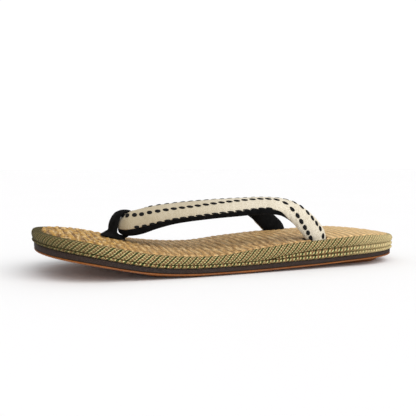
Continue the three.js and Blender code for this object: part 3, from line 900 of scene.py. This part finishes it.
TUFTS = {"from": 44, "to": 92}  # the lumpy toe turns into woven ribs between these
TUFT_SIZE = (3.3, 3.6)  # how coarse the tufts are along the foot and across it
TOE_RELIEF = 2.6  # how many times higher the straw stands at the toe


def rib_crest(at, out, sizes):
    """How high a place of the straw mat stands between a groove, 0, and a plait's crest, 1."""
    wander = 0.3 * noise.noise(Vector((at / 17, out / 9, 3)))
    row = at / (sizes.rib_pitch / MM) + wander
    rib = 1 - abs(2 * (row % 1) - 1) ** 2.2
    step = out / (sizes.plait_pitch / MM) + 0.5 * (int(row) % 2)
    plait = 0.5 + 0.5 * math.cos(math.tau * step + 2 * noise.noise(Vector((at / 7, out / 7, 8))))
    at_toe = 1 - smooth(at, TUFTS["from"], TUFTS["to"])
    tuft = 0.5 + 0.5 * math.tanh(2.6 * noise.noise(Vector((at / TUFT_SIZE[0], out / TUFT_SIZE[1], 5))))
    woven = rib * (1 - 0.3 * (1 - mix(plait, tuft, 0.4)))
    lumpy = 0.4 * rib + 0.62 * tuft
    return mix(woven, lumpy, at_toe), at_toe


class ZORI_OT_straw_mat(bpy.types.Operator):
    """Weaves the straw mat: ribs across the foot, plaited more openly at the toe"""

    bl_idname = "zori.straw_mat"
    bl_label = "Straw mat"

    def execute(self, context):
        sizes, colours = context.scene.zori_sizes, context.scene.zori_colours
        edge, plain = MAT["inset"], mat_top
        rings = [
            ring(SPINE, plain),
            ring(INNER_RING, plain, toe_inset, steps=34),
            ring(edge + 2.0, plain, toe_inset, steps=20),
            ring(edge + 0.7, lifted(mat_top, -0.05), toe_inset, steps=3),
            ring(edge, lifted(top_edge, -0.6), toe_inset, steps=3),
            ring(edge, mat_bottom, toe_inset),
            ring(INNER_RING, mat_bottom, toe_inset),
            ring(SPINE, mat_bottom),
        ]
        bm = sole_layer(rings, 780, last_seen=3)
        crest = bm.verts.layers.float.new("crest")

        def relief(spot, cloth, seen):
            height, at_toe = rib_crest(spot.x, spot.y, sizes)
            rough = 0.08 * noise.noise(Vector((spot.x * 1.9, spot.y * 0.35, 1)))
            return seen * (mix(1, TOE_RELIEF, at_toe) * sizes.rib_height / MM * (height - 0.6) + rough)

        # The crest height is also stored for the straw's painted highlights and painted groove shade.
        for vert in bm.verts:
            spot = vert.co / MM
            vert[crest] = rib_crest(spot.x + LENGTH / 2, spot.y, sizes)[0]
        emboss(bm, relief)
        piece = finish_piece("straw_mat", bm, straw_finish(colours), ["top_mat"])
        cut_holes(piece, HOLE_DEPTH)
        return {"FINISHED"}


def whole_pitch(pitch):
    """The pitch nearest to one given that goes a whole number of times round the sole."""
    return OUTLINE_LENGTH / round(OUTLINE_LENGTH / pitch)


def strand_relief(pitch, lean, height):
    """Rounded strands that slant up the tape."""

    def relief(spot, cloth, seen):
        row = (cloth[0] - cloth[1] * lean) / pitch
        return seen * height * (0.35 - abs(2 * (row % 1) - 1) ** 2)

    return relief


TAPE_LEAN = 1.05  # how far a tape strand goes round the sole for each step up it
CORD_LEAN = 0.55
CORD_HEIGHT = 0.26  # how far the cords' strands stand up
TAPE_DOT = 1.25  # how far apart a strand's dashes are, measured straight up the tape
CORD_DOT = 3.1  # and straight up a cord


class ZORI_OT_side_tape(bpy.types.Operator):
    """Wraps the sole's sides in a wide slanted tape, and lays two braided cords below it"""

    bl_idname = "zori.side_tape"
    bl_label = "Side tape and cords"

    def execute(self, context):
        sizes, colours = context.scene.zori_sizes, context.scene.zori_colours
        pitch = whole_pitch(2 * sizes.strand_pitch / MM) / 2
        tape = tape_finish("side_tape", colours, pitch, TAPE_LEAN, TAPE_DOT)
        cord_pitch = whole_pitch(2 * sizes.cord_pitch / MM) / 2
        cord = tape_finish("braided_cord", colours, cord_pitch, CORD_LEAN, CORD_DOT)
        self.wrap_tape(tape, pitch, sizes.strand_height / MM)
        self.lay_cord("lower_cord", foam_top, welt_top, cord, cord_pitch, "lower_midsole")
        self.lay_cord("wedge_cord", welt_top, wedge_top, cord, cord_pitch, "heel_wedge")
        return {"FINISHED"}

    def wrap_tape(self, material, pitch, height):
        tray = lifted(mat_bottom, -GAP)
        low = lifted(wedge_top, GAP / 2)
        crest = lifted(top_edge, -RIM["drop"])
        inner = MAT["inset"] - GAP
        rings = [
            ring(SPINE, tray),
            ring(INNER_RING, tray, toe_inset),
            ring(inner, tray, toe_inset),
            ring(inner, lifted(crest, -0.5), toe_inset),
            ring(RIM["inset"], crest, toe_inset, steps=4),
            ring(0.6, between(low, top_edge, 0.88), steps=6),
            ring(-0.1, between(low, top_edge, 0.68), steps=5),
            ring(-TAPE_SWELL, between(low, top_edge, 0.42), steps=6),
            ring(-0.1, between(low, top_edge, 0.18), steps=6),
            ring(0.7, low, steps=5),
            ring(INNER_RING, low),
            ring(SPINE, low),
        ]
        bm = sole_layer(rings, 1240, first_seen=3, last_seen=9)
        emboss(bm, strand_relief(pitch, TAPE_LEAN, height))
        piece = finish_piece("side_tape", bm, material, ["upper_midsole"])
        cut_holes(piece, HOLE_DEPTH)

    def lay_cord(self, name, bottom, top, material, pitch, node):
        cut = node == "heel_wedge"

        def roof(at):
            return max(top(at), bottom(at) + 2 * GAP) if cut else top(at)

        bm = sole_layer(slab(bottom, roof, (0.2, 0.85, 0.5), fine=3), 1000, first_seen=3, last_seen=7)
        emboss(bm, strand_relief(pitch, CORD_LEAN, CORD_HEIGHT))
        if cut:
            front = Vector(((WEDGE_FRONT - LENGTH / 2) * MM, 0, 0))
            parts = bm.verts[:] + bm.edges[:] + bm.faces[:]
            bmesh.ops.bisect_plane(bm, geom=parts, plane_co=front, plane_no=(1, 0, 0), clear_inner=True)
            bmesh.ops.holes_fill(bm, edges=[edge for edge in bm.edges if edge.is_boundary])
        finish_piece(name, bm, material, [node])


class ZORI_OT_rubber_sole(bpy.types.Operator):
    """Lays the foam layer, the rubber outsole and its two tread pads"""

    bl_idname = "zori.rubber_sole"
    bl_label = "Foam and rubber"

    def execute(self, context):
        colours = context.scene.zori_colours
        bm = sole_layer(slab(outsole_top, foam_top, (0.9, 0.25, 0), fine=3), 420)
        emboss(bm, self.unevenness)
        finish_piece("foam_layer", bm, foam_finish(colours), ["foam_midsole"])
        sheet = rubber_finish("amber_rubber", colours, 0.02)
        bm = sole_layer(slab(base_height, outsole_top, (0.9, 0.35, 0.1), fine=3), 420)
        finish_piece("rubber_outsole", bm, sheet, ["outsole"])
        tread = rubber_finish("amber_tread", colours, 0.0011)
        self.lay_pad("forefoot_tread", FOREFOOT_PAD, self.forefoot_ground, tread, "forefoot_pad")
        self.lay_pad("heel_tread", HEEL_PAD, self.heel_ground, tread, "heel_pad")
        return {"FINISHED"}

    def forefoot_ground(self, at, out=0):
        """The forefoot tread's underside: on the floor, then up with the toe."""
        return max(0, base_height(at) - (FOREFOOT_PAD["thick"] + GAP))

    def heel_ground(self, at, out=0):
        return 0

    def unevenness(self, spot, cloth, seen):
        return 0.12 * noise.noise(spot / 6)

    def lay_pad(self, name, pad, bottom, material, node):
        top = lifted(base_height, -GAP)
        rings = [
            ring(SPINE, top),
            ring(0.9, top, steps=2),
            ring(0.25, top, steps=2),
            ring(0, between(bottom, top, 0.7), steps=2),
            ring(0.1, between(bottom, top, 0.25), steps=2),
            ring(0.7, bottom, steps=2),
            ring(1.4, bottom, steps=1),
            ring(SPINE, bottom, steps=3),
        ]
        bm = sole_layer(rings, 240, pad_outline(pad))
        finish_piece(name, bm, material, [node])


# ---- the strap ----------------------------------------------------------
STRAP = table(
    "at out z lean face wide thick outer inner",
    (186.3, 32.6, 14.4, 90, 0, 14.6, 7.4, -14, -6),
    (186.3, 32.6, 18.6, 90, 0, 14.8, 7.4, -14, -6),
    (185.2, 33.0, 22.6, 88, 0, 15.0, 7.7, -14, -6),
    (181.6, 34.4, 27.0, 84, 0, 14.8, 8.1, -14, -6),
    (176.9, 35.6, 31.6, 79, 0, 14.4, 8.2, -14, -6),
    (172.2, 35.8, 35.8, 71, 2, 13.8, 8.4, -12, -3),
    (166.8, 35.3, 39.5, 57, 6, 13.6, 8.4, -6, 3),
    (159.8, 33.7, 42.4, 40, 10, 14.0, 8.6, 18, 11),
    (148.6, 30.6, 43.4, 33, 13, 15.0, 9.0, 31, 18),
    (130.0, 26.2, 42.4, 36, 13, 15.6, 9.0, 25, 18),
    (110.0, 21.8, 40.9, 40, 13, 16.0, 9.0, 24, 16),
    (90.0, 17.0, 38.6, 46, 15, 16.4, 8.8, 31, 12),
    (77.0, 13.3, 35.9, 56, 19, 17.2, 8.2, 42, 6),
    (68.5, 10.2, 33.2, 66, 27, 17.4, 7.4, 52, 2),
    (62.0, 7.2, 31.6, 73, 42, 16.2, 6.8, 54, 0),
    (59.0, 0.0, 31.0, 71, 90, 13.0, 6.4, 50, 0),
)
FOLD = len(STRAP) - 1
FAR_ARM = {"drop": 4, "forward": 2.2, "back": 3}


def strap_rows():
    """The strap's rows from its end on the -Y side, through the fold, to the +Y side."""
    near = [dict(row, side=-1) for row in STRAP]
    far = []
    for i, row in enumerate(STRAP[:-1]):
        share = i / FOLD
        drop = FAR_ARM["drop"] * math.sin(math.pi * share)
        at_foot = FAR_ARM["forward"] * math.cos(math.pi / 2 * share)
        forward = at_foot - FAR_ARM["back"] * math.sin(math.pi * share) ** 4
        far.append(dict(row, side=1, at=row["at"] - forward, z=row["z"] - drop))
    rows = near + far[::-1]
    for row in rows:
        lean, face = math.radians(row["lean"]), math.radians(row["face"])
        outwards = row["side"] * math.sin(lean) * math.cos(face)
        row["facing"] = Vector((-math.sin(lean) * math.sin(face), outwards, math.cos(lean)))
        row["centre"] = Vector((row["at"] - LENGTH / 2, row["side"] * row["out"], row["z"]))
    return rows


ROWS = strap_rows()
ROW_COUNT = len(ROWS) - 1
CENTRES = [row["centre"] for row in ROWS]
FACINGS = [row["facing"] for row in ROWS]
strap_column = {name: by_row(ROWS, name) for name in ("wide", "thick", "outer", "inner")}


class StrapFrame:
    """The strap at a place counted in rows: its middle, direction, facing and outer edge."""

    def __init__(self, place):
        nudge = 0.01
        self.place = place
        self.middle = spline(CENTRES, place)
        before, after = max(0, place - nudge), min(ROW_COUNT, place + nudge)
        self.along = (spline(CENTRES, after) - spline(CENTRES, before)).normalized()
        facing = spline(FACINGS, place)
        self.facing = (facing - self.along * facing.dot(self.along)).normalized()
        self.edge = self.facing.cross(self.along)
        self.wide, self.thick, self.outer, self.inner = (
            strap_column[name](place) for name in ("wide", "thick", "outer", "inner")
        )

    def point(self, degrees, lift=0.0):
        """A point of the padded tube; degrees run from its outer edge over the cloth."""
        angle = math.radians(degrees)
        reach = self.wide / 2 * math.cos(angle)
        rise = self.thick / 2 * math.sin(angle)
        out = Vector((math.cos(angle) / self.wide, math.sin(angle) / self.thick)).normalized()
        spot = self.middle + self.edge * reach + self.facing * rise
        return spot + (self.edge * out.x + self.facing * out.y) * lift


def strap_walk():
    """How far along the strap each fine step of its rows lies, in millimetres."""
    steps = [ROW_COUNT * i / 1500 for i in range(1501)]
    points = [spline(CENTRES, place) for place in steps]
    walked = [0.0]
    for a, b in zip(points, points[1:]):
        walked.append(walked[-1] + (b - a).length)
    return steps, walked


STRAP_STEPS, STRAP_WALKED = strap_walk()


def strap_place(distance):
    """The place in rows at a distance along the strap."""
    k = min(len(STRAP_WALKED) - 2, max(0, bisect_right(STRAP_WALKED, distance) - 1))
    share = (distance - STRAP_WALKED[k]) / (STRAP_WALKED[k + 1] - STRAP_WALKED[k])
    return mix(STRAP_STEPS[k], STRAP_STEPS[k + 1], share)


STRAP_LENGTH = STRAP_WALKED[-1]
FOLD_AT = next(w for s, w in zip(STRAP_STEPS, STRAP_WALKED) if s >= FOLD)


# Where the stitch rows lie round the section, in degrees, by the distance from the fold.
SEAM_STITCHES = table("at angle", (10, 65), (30, 40), (60, 30), (110, 35))
UPPER_STITCHES = table(
    "at angle", (0, 145), (20, 110), (50, 90), (80, 100), (105, 104), (120, 70), (135, 50), (150, 45)
)
CREST_STITCHES = table("at angle", (25, 170), (60, 160), (110, 160), (130, 130), (150, 125))
STITCH_ROWS = {"seam": (13, 104), "upper": (2.6, 148), "crest": (24, 150)}
stitch_angle = {
    "seam": column(SEAM_STITCHES, "angle"),
    "upper": column(UPPER_STITCHES, "angle"),
    "crest": column(CREST_STITCHES, "angle"),
}


def stitches(sizes):
    """Every stitch of both arms: its frame, angle, length, width and slant."""
    found = []
    for row, (first, last) in STITCH_ROWS.items():
        from_fold = first
        while from_fold < last:
            steep = smooth(from_fold, 106, 122)
            front = 1 - smooth(from_fold, 8, 48)
            slim = 0.6 if row == "seam" else 1
            for side in (-1, 1):
                place = strap_place(FOLD_AT + side * from_fold)
                found.append(
                    {
                        "frame": StrapFrame(place),
                        "degrees": stitch_angle[row](from_fold),
                        "length": sizes.stitch_length / MM * (1 - 0.26 * front - 0.1 * steep),
                        "width": sizes.stitch_width / MM * slim * (1 + 0.55 * front + 0.3 * steep),
                        "slant": side * math.radians(mix(15, 34, front)) * slim**2,
                    }
                )
            from_fold += sizes.stitch_pitch / MM * (1 - 0.1 * steep)
    return found


SEAM_TUCK = 1.5  # degrees that cloth and velvet each stay clear of a seam


def cloth_span(here):
    """The angles of the section between which the cloth lies."""
    return here.outer + SEAM_TUCK, 180 - here.inner - SEAM_TUCK


def lining_span(here):
    """The angles of the section between which the velvet lies."""
    return 180 - here.inner + SEAM_TUCK, 360 + here.outer - SEAM_TUCK


def tube_half(span, columns, arc_rows, chord_rows):
    """One half of the strap: over the section between a span's angles, back along a chord."""
    bm = bmesh.new()
    rows = arc_rows + chord_rows
    seen = bm.verts.layers.float.new("seen")
    uv = bm.loops.layers.uv.new("cloth")
    bmesh.ops.create_grid(bm, x_segments=columns, y_segments=rows, size=1)
    frames = [StrapFrame(strap_place(STRAP_LENGTH * i / columns)) for i in range(columns + 1)]
    cloth = {}
    for vert in bm.verts:
        i = round((vert.co.x + 1) / 2 * columns)
        k = round((vert.co.y + 1) / 2 * rows)
        here = frames[i]
        low, high = span(here)
        girth = math.radians(high - low) * (here.wide + here.thick) / 4
        if k <= arc_rows:
            share = k / arc_rows
            spot = here.point(mix(low, high, share))
            vert[seen] = smooth(min(share, 1 - share), 0, 0.04)
            cloth[vert] = (STRAP_LENGTH * i / columns, girth * share)
        else:
            share = (k - arc_rows) / chord_rows
            spot = here.point(high).lerp(here.point(low), share)
            vert[seen] = 0
            cloth[vert] = (STRAP_LENGTH * i / columns, girth * (1 + share / 2))
        vert.co = spot * MM
    for face in bm.faces:
        for loop in face.loops:
            loop[uv].uv = cloth[loop.vert]
    bmesh.ops.remove_doubles(bm, verts=bm.verts, dist=0.001 * MM)
    ends = [edge for edge in bm.edges if edge.is_boundary]
    bmesh.ops.holes_fill(bm, edges=ends)
    bmesh.ops.recalc_face_normals(bm, faces=bm.faces)
    return bm


class ZORI_OT_strap(bpy.types.Operator):
    """Pads the strap: cream cloth over black velvet, puckered where it is sewn"""

    bl_idname = "zori.strap"
    bl_label = "Padded strap"

    def execute(self, context):
        sizes, colours = context.scene.zori_sizes, context.scene.zori_colours
        cover = tube_half(cloth_span, 820, 34, 6)
        self.pucker(cover, stitches(sizes), sizes.pucker / MM)
        cotton = strap_cloth_finish(colours)
        cloth = finish_piece("strap_cloth", cover, cotton, ["strap_cover"])
        lining = tube_half(lining_span, 560, 24, 6)
        velvet = velvet_finish("strap_velvet", colours, 160.0)
        under = finish_piece("strap_velvet", lining, velvet, ["strap_lining"])
        return {"FINISHED"}

    def pucker(self, bm, sewn, depth):
        """Pulls the cloth in at each stitch, swells it between, and wrinkles the bend."""
        bm.normal_update()
        uv = bm.loops.layers.uv["cloth"]
        seen = bm.verts.layers.float["seen"]
        by_length = {}
        for stitch in sewn:
            spot = stitch["frame"].point(stitch["degrees"]) * MM
            by_length.setdefault(int(spot.x / (4 * MM)), []).append(spot)
        for vert in bm.verts:
            if vert[seen] <= 0:
                continue
            key = int(vert.co.x / (4 * MM))
            pull = 0.0
            for near in (key - 1, key, key + 1):
                for spot in by_length.get(near, ()):
                    gap = (spot - vert.co).length / MM
                    if gap < 5:
                        pull = max(pull, math.exp(-((gap / 1.7) ** 2)))
            spot = vert.co / MM
            slack = 0.10 * noise.noise(Vector((spot.x / 5, spot.y / 3, spot.z / 3)))
            bend = smooth(spot.x, 22, 32) * (1 - smooth(spot.x, 40, 50))
            crease = 0.16 * bend * math.sin(spot.x * 2.1 + spot.z * 0.8)
            move = vert[seen] * (0.12 + slack + crease - depth * pull)
            vert.co += vert.normal * (move * MM)


class ZORI_OT_stitches(bpy.types.Operator):
    """Sews the strap's running stitches in thick black thread"""

    bl_idname = "zori.stitches"
    bl_label = "Running stitches"

    def execute(self, context):
        sizes, colours = context.scene.zori_sizes, context.scene.zori_colours
        bm = bmesh.new()
        for stitch in stitches(sizes):
            here, degrees = stitch["frame"], stitch["degrees"]
            spot = here.point(degrees, 0.0)
            up = (here.point(degrees, 1) - here.point(degrees)).normalized()
            along = (here.along - up * here.along.dot(up)).normalized()
            along.rotate(Matrix.Rotation(stitch["slant"], 3, up))
            turn = Matrix((along, up.cross(along), up)).transposed().to_quaternion()
            half = Vector((stitch["length"] / 2, stitch["width"] / 2, 0.5)) * MM
            matrix = Matrix.LocRotScale(spot * MM, turn, half)
            bmesh.ops.create_uvsphere(bm, u_segments=10, v_segments=6, radius=1, matrix=matrix)
        material, nodes, shader = new_material("black_thread", roughness=0.85, specular_ior_level=0.2)
        soil = nodes.group(handled_surface(), {"Vector": nodes.place(), "Scale": 300.0})
        brushed = colours.velvet_brushed
        nodes.put(shader.inputs["Base Color"], nodes.mix(soil["Patch"], colours.thread_black, brushed))
        nodes.put(shader.inputs["Normal"], nodes.bump(soil["Speck"], 0.0002, 0.5))
        finish_piece("strap_stitches", bm, material)
        return {"FINISHED"}


# ---- the toe thong ------------------------------------------------------
THONG_LOOP = table(
    "at z wide thick",
    (52.0, 24.6, 9.4, 6.2),
    (51.9, 29.0, 9.8, 6.2),
    (53.1, 33.6, 9.8, 5.8),
    (55.4, 37.2, 8.8, 4.8),
    (58.9, 39.2, 6.4, 3.0),
    (63.8, 38.7, 4.8, 2.4),
    (65.9, 34.6, 4.0, 2.4),
    (65.0, 28.6, 4.2, 2.4),
    (60.5, 23.1, 6.6, 2.4),
    (55.2, 23.1, 7.4, 2.6),
)
THONG_AT = 51
THONG_FOOT = table(
    "up radius",
    (-5.8, 0), (-5.8, 3.4), (0.4, 3.8), (0.45, 6.6), (1.5, 6.3), (3.2, 4.6), (4.6, 3.2), (4.6, 0),
)
FOOT_LEAN = 1.3  # how much further the foot spreads towards the toe
FOOT_TAIL = 2.4  # and towards the heel


class ZORI_OT_toe_thong(bpy.types.Operator):
    """Folds the velvet thong round the strap and spreads its foot on the straw"""

    bl_idname = "zori.toe_thong"
    bl_label = "Toe thong"

    def execute(self, context):
        bm = bmesh.new()
        self.spin_foot(bm)
        self.bend_loop(bm)
        bmesh.ops.recalc_face_normals(bm, faces=bm.faces)
        colours = context.scene.zori_colours
        velvet = velvet_finish("thong_velvet", colours, 220.0)
        piece = finish_piece("thong_velvet", bm, velvet, ["toe_thong"])
        remesh = piece.modifiers.new("one_skin", "REMESH")
        remesh.mode, remesh.voxel_size = "VOXEL", 0.42 * MM
        soften = piece.modifiers.new("soften", "SMOOTH")
        soften.factor, soften.iterations = 0.5, 6
        bake_modifiers(piece)
        self.crease(piece)
        piece.data.shade_smooth()
        return {"FINISHED"}

    def spin_foot(self, bm):
        points = [Vector((row["radius"], 0, row["up"])) for row in THONG_FOOT]
        verts = [bm.verts.new(point) for point in points]
        edges = [bm.edges.new(pair) for pair in zip(verts, verts[1:])]
        bmesh.ops.spin(
            bm, geom=verts + edges, cent=(0, 0, 0), axis=(0, 0, 1), dvec=(0, 0, 0),
            angle=math.tau, steps=40, use_merge=True,
        )
        bmesh.ops.remove_doubles(bm, verts=bm.verts, dist=0.01)
        for vert in bm.verts:
            spot = vert.co.copy()
            reach = math.hypot(spot.x, spot.y)
            skirt = min(1, max(0, (reach - 3.8) / 2.8))
            ahead = -spot.x / (reach or 1)
            x = spot.x - skirt * (FOOT_LEAN * max(0, ahead) - FOOT_TAIL * max(0, -ahead))
            at = THONG_AT + x
            vert.co = Vector((at - LENGTH / 2, spot.y, mat_top(at, spot.y) + spot.z)) * MM

    def bend_loop(self, bm):
        columns, sides = 90, 24
        points = [Vector((row["at"] - LENGTH / 2, 0, row["z"])) for row in THONG_LOOP]
        rows = THONG_LOOP + THONG_LOOP[:1]
        wide, thick = by_row(rows, "wide"), by_row(rows, "thick")
        made = bmesh.ops.create_grid(bm, x_segments=columns, y_segments=sides, size=1)["verts"]
        for vert in made:
            place = (vert.co.x + 1) / 2 * len(points)
            angle = (vert.co.y + 1) * math.pi
            here = spline(points, place % len(points), closed=True)
            ahead = spline(points, (place + 0.01) % len(points), closed=True)
            along = (ahead - here).normalized()
            outwards = Vector((-along.z, 0, along.x))
            spot = here + outwards * (thick(place) / 2 * math.cos(angle))
            spot.y = wide(place) / 2 * math.sin(angle)
            vert.co = spot * MM
        bmesh.ops.remove_doubles(bm, verts=made, dist=0.001 * MM)

    def crease(self, piece):
        """Faint folds where the velvet is drawn together."""
        moves = []
        for vert in piece.data.vertices:
            spot = vert.co / MM
            fold = math.sin(spot.y * 2.6 + 1.5 * noise.noise(spot / 4))
            moves.append(vert.normal * ((0.09 * fold + 0.1 * noise.noise(spot / 2)) * MM))
        for vert, move in zip(piece.data.vertices, moves):
            vert.co += move


class ZORI_PT_panel(bpy.types.Panel):
    """Lists the steps that build the sandal"""

    bl_idname = "ZORI_PT_panel"
    bl_label = "Zori Sandal"
    bl_space_type = "VIEW_3D"
    bl_region_type = "UI"
    bl_category = "Zori"

    def draw(self, context):
        for name in STEPS:
            self.layout.operator(f"zori.{name}")


STEPS = ("stage", "straw_mat", "side_tape", "rubber_sole", "strap", "stitches", "toe_thong")
CLASSES = (
    ZoriSizes,
    ZoriColours,
    ZoriLight,
    ZORI_OT_stage,
    ZORI_OT_straw_mat,
    ZORI_OT_side_tape,
    ZORI_OT_rubber_sole,
    ZORI_OT_strap,
    ZORI_OT_stitches,
    ZORI_OT_toe_thong,
    ZORI_PT_panel,
)
SETTINGS = {"zori_sizes": ZoriSizes, "zori_colours": ZoriColours, "zori_light": ZoriLight}


def register():
    for each in CLASSES:
        bpy.utils.register_class(each)
    for name, kind in SETTINGS.items():
        setattr(bpy.types.Scene, name, PointerProperty(type=kind))


def unregister():
    for name in SETTINGS:
        delattr(bpy.types.Scene, name)
    for each in reversed(CLASSES):
        bpy.utils.unregister_class(each)


def main():
    register()
    for name in STEPS:
        getattr(bpy.ops.zori, name)()
    boxes = {"cad": CAD_BOX, "visual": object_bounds()}
    plain = {name: [list(corner) for corner in box] for name, box in boxes.items()}


if __name__ == "__main__":
    main()
